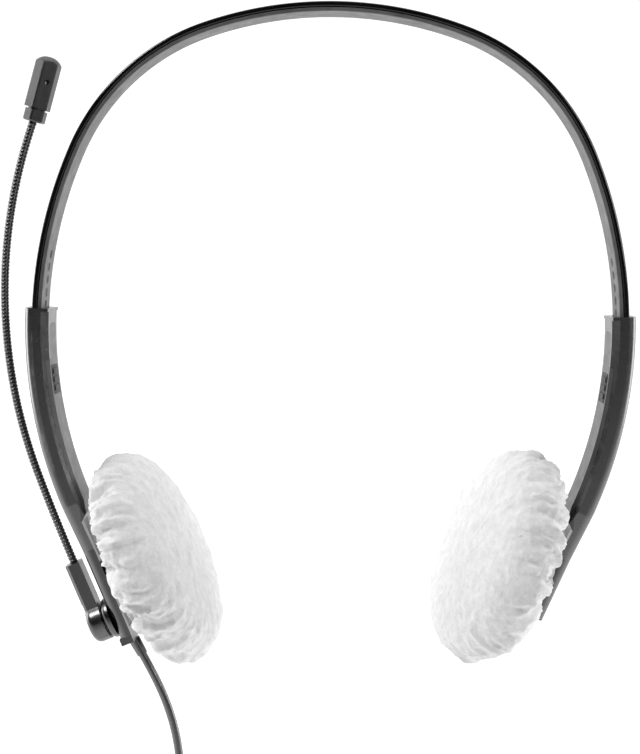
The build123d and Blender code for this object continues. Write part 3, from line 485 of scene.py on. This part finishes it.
def band_point(heading, offset):
    """X and Z of a point of the band's right side."""
    if heading <= CROWN_END:
        return outward(CROWN_CENTRE, CROWN_RADIUS + offset, heading)
    if heading <= SHOULDER_END:
        return outward(SHOULDER_CENTRE, SHOULDER_RADIUS + offset, heading)
    return outward(LEG_CENTRE, LEG_RADIUS + offset, heading)


def headings(first, last, spacing):
    """Headings along the band, about evenly spaced in millimetres."""
    found = [first]
    while found[-1] < last:
        now = found[-1]
        radius = CROWN_RADIUS if now < CROWN_END else SHOULDER_RADIUS if now < SHOULDER_END else LEG_RADIUS
        found.append(min(last, now + math.degrees(spacing(now) / radius)))
    return found


def rounded(corners, radii):
    """A closed outline with round corners, from (offset, width) corners, each with its own radius."""
    outline = []
    count = len(corners)
    for k, (corner, size) in enumerate(zip(corners, radii)):
        here = Vector(corner)
        before = (Vector(corners[k - 1]) - here).normalized()
        after = (Vector(corners[(k + 1) % count]) - here).normalized()
        if size <= 0:
            outline.append(tuple(here))
            continue
        for step in range(CORNER_STEPS + 1):
            share = step / CORNER_STEPS
            outline.append(tuple(here + before * size * (1 - share) ** 2 + after * size * share ** 2))
    return outline


def band_piece(name, side, section, slot, spacing, shape=None):
    """Half of a layer of the band, from its crown to its end, with its section moved by shape."""
    rings = []
    for heading in headings(0, LEG_END, spacing):
        ring = []
        for offset, width in section:
            if shape:
                offset = shape(heading, offset, width)
            x, z = band_point(heading, offset)
            ring.append(Vector((side * x, width, z)) * MM)
        rings.append(ring)
    vertices, faces = loft(rings)
    if side > 0:
        faces = flip(faces)
    return new_piece(name, vertices, faces, slot, BAND_SHARP)


SHELL_CORNERS = [
    (LINER_TOP, -HALF_WIDTH + 0.45),
    (LINER_TOP + 0.28, -HALF_WIDTH + 0.45),
    (LINER_TOP + 0.34, -HALF_WIDTH + 0.1),
    (LINER_TOP + 0.62, -HALF_WIDTH),
    (OUTER, -HALF_WIDTH),
    (OUTER, HALF_WIDTH),
    (LINER_TOP + 0.62, HALF_WIDTH),
    (LINER_TOP + 0.34, HALF_WIDTH - 0.1),
    (LINER_TOP + 0.28, HALF_WIDTH - 0.45),
    (LINER_TOP, HALF_WIDTH - 0.45),
]
SHELL_SECTION = rounded(SHELL_CORNERS, [0, 0, 0.05, 0.1, 0.75, 0.75, 0.1, 0.05, 0, 0])
LINER_CORNERS = [
    (-OUTER, HALF_WIDTH),
    (LINER_TOP, HALF_WIDTH),
    (LINER_TOP, -HALF_WIDTH),
    (-OUTER, -HALF_WIDTH),
]


def liner_section():
    """Outline of the liner, with close points where the dimples are."""
    outline = rounded(LINER_CORNERS, [0.3, 0.05, 0.05, 0.3])
    widths = [-5.0, -3.6, -2.4]
    width = -1.7
    while width <= 1.71:
        widths.append(round(width, 2))
        width += 0.2
    widths += [2.4, 3.6, 5.0]
    return outline + [(-OUTER, w) for w in widths]


def dimpled(heading, offset, width):
    """Moves the liner's inner face out into the round dimples, with a low rim round each."""
    if offset > -OUTER + 0.01 or abs(width) > 2.0:
        return offset
    for centre in DIMPLE_HEADINGS:
        along = math.radians(heading - centre) * (LEG_RADIUS - OUTER)
        distance = math.hypot(along, width)
        if distance < DIMPLE_RADIUS + 0.35:
            wall = ease((DIMPLE_RADIUS + 0.12 - distance) / 0.24)
            rim = 0.07 * math.exp(-((distance - DIMPLE_RADIUS - 0.12) / 0.16) ** 2)
            return offset + DIMPLE_DEPTH * wall - rim
    return offset


def shell_spacing(heading):
    return RING_SPACING


def lining_spacing(heading):
    """Close rings where the bare dimples are."""
    return DIMPLE_RING_SPACING if DIMPLED_HEADINGS[0] < heading < DIMPLED_HEADINGS[1] else RING_SPACING


for name, side in SIDES:
    shell = band_piece(f"{name}_band_half", side, SHELL_SECTION, "band_gloss", shell_spacing)
    lining = band_piece(f"{name}_band_lining", side, liner_section(), "band_matt", lining_spacing, dimpled)
    for piece, nodes in (
        (shell, ("band_crown_shell", f"{name}_band_shell")),
        (lining, ("band_crown_liner", f"{name}_band_liner")),
    ):
        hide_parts(*nodes)
        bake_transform(piece)

# ---------------------------------------------------------------- gooseneck

NECK_RADIUS = 1.25
NECK_START = (77.6, -168.0)
NECK_LEAN = 23.4
NECK_RADII = (622.0, 157.0)
NECK_TURNS = (2.8, 40.4)
NECK_LENGTH = sum(radius * math.radians(turn) for radius, turn in zip(NECK_RADII, NECK_TURNS))
NECK_BENDS = (46.0, 88.0)
NECK_MIDDLE = sum(NECK_BENDS) / 2
RIB_PITCH = 1.12
RIB_DEPTH = 0.2
RINGS_A_RIB = 8
NECK_POINTS = 20
NECK_BLEND = 17
NECK_SHARP = 60


def neck_at(distance):
    """Centre and lean of the gooseneck at a distance from its foot, as if it were on the right side."""
    x, z = NECK_START
    heading = NECK_LEAN
    for radius, turn in zip(NECK_RADII, NECK_TURNS):
        part = min(distance, radius * math.radians(turn))
        centre = (x - radius * math.cos(math.radians(heading)), z + radius * math.sin(math.radians(heading)))
        heading -= math.degrees(part / radius)
        x = centre[0] + radius * math.cos(math.radians(heading))
        z = centre[1] - radius * math.sin(math.radians(heading))
        distance -= part
        if distance <= 0:
            break
    return x, z, heading


def gooseneck(name, first, last):
    """A length of the ribbed tube, on the left side."""
    rings = []
    distance = first
    while distance <= last + 1e-6:
        x, z, heading = neck_at(distance)
        phase = (distance / RIB_PITCH) % 1.0
        groove = max(0.0, 1 - abs(phase - 0.5) / 0.24)
        radius = NECK_RADIUS - RIB_DEPTH * ease(groove)
        lean = math.radians(heading)
        ring = []
        for k in range(NECK_POINTS):
            turn = 2 * math.pi * k / NECK_POINTS
            out = radius * math.cos(turn)
            point = Vector((-(x + out * math.cos(lean)), radius * math.sin(turn), z - out * math.sin(lean)))
            ring.append(point * MM)
        rings.append(ring)
        distance += RIB_PITCH / RINGS_A_RIB
    vertices, faces = loft(rings)
    return new_piece(name, vertices, faces, "gooseneck", NECK_SHARP)


for name, first, last, bodies, bend, nodes in (
    ("gooseneck_lower_tube", 0.0, NECK_MIDDLE, ("boom", "boom_middle"), NECK_BENDS[0],
     ("gooseneck_lower", "gooseneck_middle")),
    ("gooseneck_upper_tube", NECK_MIDDLE, NECK_LENGTH, ("boom_middle", "boom_tip"), NECK_BENDS[1],
     ("gooseneck_middle", "gooseneck_upper")),
):
    tube = gooseneck(name, first, last)
    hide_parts(*nodes)
    start = neck_at(bend - NECK_BLEND)
    end = neck_at(bend + NECK_BLEND)
    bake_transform(tube)

# ---------------------------------------------------------------- ear pads
# A profile has (radius, height) points, with height from the cup's pivot towards the ear. A share counts
# along the points of the cover's profile, from the middle of its face to its gathered edge.

CUP_PIVOT = (59.8053, -166.9844)
CUP_LEAN = {"left": 25.0, "right": 21.0}
CUP_YAW = {"left": 6.0, "right": 14.0}
PAD_SHIFT = {"left": (0.3, -1.0), "right": (0.0, 1.8)}
COVER_PROFILE = [
    (0.0, 19.7), (6.0, 19.6), (12.0, 19.25), (18.0, 18.8), (23.4, 18.1), (27.0, 17.1), (29.6, 15.6),
    (31.5, 13.4), (32.6, 10.8), (32.9, 8.4), (32.4, 6.2), (31.2, 4.4), (29.5, 3.0), (27.6, 2.1), (25.9, 1.6),
    (24.8, 1.3), (24.3, 0.9), (24.2, 0.4), (24.2, -0.1),
]
ELASTIC_RUN = 15
COVER_SEED = {"left": 3.7, "right": 11.2}
COVER_POINTS = 300
COVER_RINGS = 96
RING_CROWDING = 0.85
PLEAT_START = 4.5
PLEAT_REACH = 8.5
DEEPEST_FOLD = -1.7
HIGHEST_FOLD = 1.6
CREASE_WIDTH = 0.05
CREASE_DEPTH = 1.1
HEM_WAVE = 1.3
FOAM_PROFILE = [
    (0.5, 17.6), (8, 17.5), (16, 17.1), (21, 16.4), (24.6, 15.4), (27.0, 13.8), (28.2, 12.2), (28.5, 10.8),
    (27.6, 9.6), (25, 9.4), (14, 9.4), (0.5, 9.4),
]
FOAM_POINTS = 96
FOAM_RINGS_A_STEP = 4


def cup_frame(name, side):
    """Origin, down, across and inward directions of a cup, in the row frame."""
    lean = math.radians(CUP_LEAN[name])
    yaw = math.radians(CUP_YAW[name])
    down = Vector((-math.sin(lean), 0, -math.cos(lean)))
    inward = Vector((-math.cos(lean) * math.cos(yaw), -math.sin(yaw), math.sin(lean) * math.cos(yaw)))
    across = inward.cross(down).normalized()
    down = across.cross(inward).normalized()
    mirror = Matrix.Diagonal((side, 1, 1))
    origin = Vector((side * CUP_PIVOT[0], 0, CUP_PIVOT[1]))
    return origin, mirror @ down, mirror @ across, mirror @ inward


def along(profile, share):
    """Smooth point of a profile at a running index."""
    k = min(len(profile) - 2, int(share))
    t = share - k
    p = [Vector(profile[max(0, min(len(profile) - 1, k + d))]) for d in (-1, 0, 1, 2)]
    return 0.5 * (
        2 * p[1]
        + (p[2] - p[0]) * t
        + (2 * p[0] - 5 * p[1] + 4 * p[2] - p[3]) * t * t
        + (3 * p[1] - p[0] - 3 * p[2] + p[3]) * t ** 3
    )


def ridge(value):
    """Sharp crests from smooth noise."""
    return 1 - abs(value) * 2


def cover_height(turn, share, seed):
    """How far the cloth stands off its smooth shape: pleats at the gathered edge, crinkles elsewhere."""
    edge = ease((share - PLEAT_START) / PLEAT_REACH)
    circle = Vector((math.cos(turn), math.sin(turn), 0))
    drift = noise.noise(circle * 2.2 + Vector((0, 0, share * 0.14 + seed))) * 0.35
    swing = Vector((math.cos(turn + drift * 0.35), math.sin(turn + drift * 0.35), 0))
    wide = ridge(noise.noise(swing * 4.6 + Vector((seed, 0, share * 0.10))))
    fine = ridge(noise.noise(swing * 10.5 + Vector((0, seed, share * 0.16))))
    small = ridge(noise.noise(swing * 21.0 + Vector((0, seed, share * 0.25 + 7))))
    pleats = (wide - 0.5) * 2.3 + (fine - 0.5) * 2.4 + (small - 0.5) * 1.1
    fold = noise.noise(swing * 4.2 + Vector((seed + 5, seed, share * 0.12)))
    crease = math.exp(-(fold / CREASE_WIDTH) ** 2) * CREASE_DEPTH
    return max(DEEPEST_FOLD, min(HIGHEST_FOLD, (pleats - crease + 0.3) * edge))


def pad_cover(name, side):
    """The gathered cloth cover, open at the back."""
    origin, down, across, inward = cup_frame(name, side)
    shift = PAD_SHIFT[name]
    origin = origin + down * shift[0] + Vector((0, 0, shift[1]))
    seed = COVER_SEED[name]
    last = len(COVER_PROFILE) - 1
    rings = []
    for row in range(1, COVER_RINGS + 1):
        share = last * (row / COVER_RINGS) ** RING_CROWDING
        radius, height = along(COVER_PROFILE, share)
        ahead = along(COVER_PROFILE, min(last, share + 0.05))
        behind = along(COVER_PROFILE, max(0, share - 0.05))
        tangent = (ahead - behind).normalized()
        normal = Vector((-tangent.y, tangent.x))
        frill = ease((share - ELASTIC_RUN) / 3.0)
        ring = []
        for k in range(COVER_POINTS):
            turn = 2 * math.pi * k / COVER_POINTS
            off = cover_height(turn, share, seed)
            place = Vector((radius * math.cos(turn), radius * math.sin(turn), height))
            soft = noise.noise(place * 0.16 + Vector((seed, 0, 0))) * 0.35
            crinkle = noise.noise(place * 0.42 + Vector((0, seed, 0))) * 0.34
            crease = ridge(noise.noise(place * 0.20 + Vector((0, 0, seed)))) ** 6 * 0.30
            off = off * (1 - 0.45 * frill) + soft + crinkle + crease * ease(share / 3.0)
            uneven = noise.noise(Vector((math.cos(turn) * 3, math.sin(turn) * 3, seed))) * HEM_WAVE
            lift = frill * uneven
            r = radius + normal.x * off
            h = height + normal.y * off - lift
            point = origin + (down * math.cos(turn) + across * math.sin(turn)) * r + inward * h
            ring.append(point * MM)
        rings.append(ring)
    vertices, faces = loft(rings, caps=False)
    centre = len(vertices)
    vertices.append((origin + inward * COVER_PROFILE[0][1]) * MM)
    for k in range(COVER_POINTS):
        faces.append((centre, (k + 1) % COVER_POINTS, k))
    return new_piece(f"{name}_pad_cover", vertices, faces, "cover_cloth")


def foam_pad(name, side):
    """Foam disc inside the cover: crowned face, rounded rim."""
    origin, down, across, inward = cup_frame(name, side)
    rings = []
    for step in range((len(FOAM_PROFILE) - 1) * FOAM_RINGS_A_STEP + 1):
        radius, height = along(FOAM_PROFILE, step / FOAM_RINGS_A_STEP)
        ring = []
        for k in range(FOAM_POINTS):
            turn = 2 * math.pi * k / FOAM_POINTS
            point = origin + (down * math.cos(turn) + across * math.sin(turn)) * radius + inward * height
            ring.append(point * MM)
        rings.append(ring)
    vertices, faces = loft(rings)
    return new_piece(f"{name}_foam_pad", vertices, faces, "foam")


for name, side in SIDES:
    cover = pad_cover(name, side)
    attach(cover, f"{name}_cup")
    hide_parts(f"{name}_cushion_cover")
    foam = foam_pad(name, side)
    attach(foam, f"{name}_cup")
    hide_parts(f"{name}_cushion")

# ---------------------------------------------------------------- floor and light

FLOOR = cad_low.z - 0.03
FLOOR_HALF_WIDTH = 5.0
FLOOR_FRONT = -4.0
FLOOR_MIDDLE = -0.3
FLOOR_BACK = 1.2
COVE_RADIUS = 1.0
COVE_STEPS = 16
WALL_TOP = 4.0
GLOW_DIM = 0.06
GLOW_FULL = 0.88
GLOW_FROM = -0.5
GLOW_TO = -0.1
WORLD_DARK_BELOW = -0.4
WORLD_FULL_ABOVE = 0.05
SOFTBOXES = (
    ("key", (-0.75, -0.45, 0.75), (0.35, 0.35), 8.5),
    ("fill", (0.9, -0.7, 0.3), (0.35, 0.6), 4.2),
    ("top", (0.0, 0.1, 1.1), (1.0, 0.5), 2.0),
    ("left_side", (-1.0, 0.22, -0.1), (0.5, 0.9), 6.0),
    ("right_side", (1.0, 0.22, -0.1), (0.5, 0.9), 5.0),
)


def cove():
    """Pale floor that curves up into a wall, and glows from just in front of the object to the back."""
    section = [(FLOOR_FRONT, 0.0), (FLOOR_MIDDLE, 0.0), (FLOOR_BACK, 0.0)]
    for step in range(1, COVE_STEPS + 1):
        turn = math.pi / 2 * step / COVE_STEPS
        y = FLOOR_BACK + COVE_RADIUS * math.sin(turn)
        section.append((y, COVE_RADIUS - COVE_RADIUS * math.cos(turn)))
    section.append((FLOOR_BACK + COVE_RADIUS, WALL_TOP))
    sides = (-FLOOR_HALF_WIDTH, FLOOR_HALF_WIDTH)
    rings = [[Vector((x, y, FLOOR + z)) for x in sides] for y, z in section]
    vertices, faces = loft(rings, closed_ring=False, caps=False)
    mesh = bpy.data.meshes.new("floor")
    mesh.from_pydata(vertices, [], faces)
    mesh.polygons.foreach_set("use_smooth", [True] * len(mesh.polygons))
    floor = bpy.data.objects.new("floor", mesh)
    scene.collection.objects.link(floor)
    material = new_material("floor", (0.45, 0.45, 0.45), 0.9, Emission_Color=(1, 1, 1, 1))
    links = material.node_tree.links
    place = node(material, "ShaderNodeTexCoord")
    parts = node(material, "ShaderNodeSeparateXYZ")
    glow = node(material, "ShaderNodeMapRange")
    glow.inputs["From Min"].default_value = GLOW_FROM
    glow.inputs["From Max"].default_value = GLOW_TO
    glow.inputs["To Min"].default_value = GLOW_DIM
    glow.inputs["To Max"].default_value = GLOW_FULL
    links.new(place.outputs["Object"], parts.inputs["Vector"])
    links.new(parts.outputs["Y"], glow.inputs["Value"])
    links.new(glow.outputs["Result"], principled(material).inputs["Emission Strength"])
    mesh.materials.append(material)


def softbox(name, place, size, power):
    """Soft rectangular light of a power in watts, aimed at what the camera looks at."""
    light = bpy.data.lights.new(name, "AREA")
    light.shape = "RECTANGLE"
    light.size, light.size_y = size
    light.energy = power
    lamp = bpy.data.objects.new(name, light)
    scene.collection.objects.link(lamp)
    lamp.location = place
    lamp.rotation_mode = "QUATERNION"
    lamp.rotation_quaternion = (TARGET - Vector(place)).to_track_quat("-Z", "Y")


def studio_world():
    """White where the camera sees it. To other rays it is white behind the object and dark in front of it."""
    world = bpy.data.worlds.new("studio")
    scene.world = world
    world.use_nodes = True
    tree = world.node_tree
    sky = tree.nodes["Background"]
    place = tree.nodes.new("ShaderNodeTexCoord")
    parts = tree.nodes.new("ShaderNodeSeparateXYZ")
    level = tree.nodes.new("ShaderNodeMapRange")
    tree.links.new(place.outputs["Generated"], parts.inputs["Vector"])
    tree.links.new(parts.outputs["Y"], level.inputs["Value"])
    level.inputs["From Min"].default_value = WORLD_DARK_BELOW
    level.inputs["From Max"].default_value = WORLD_FULL_ABOVE
    rays = tree.nodes.new("ShaderNodeLightPath")
    seen = tree.nodes.new("ShaderNodeMath")
    seen.operation = "MAXIMUM"
    tree.links.new(level.outputs["Result"], seen.inputs[0])
    tree.links.new(rays.outputs["Is Camera Ray"], seen.inputs[1])
    tree.links.new(seen.outputs["Value"], sky.inputs["Strength"])
    sky.inputs["Color"].default_value = (1, 1, 1, 1)


cove()
studio_world()
for name, place, size, power in SOFTBOXES:
    softbox(name, place, size, power)
scene.view_settings.view_transform = "Standard"
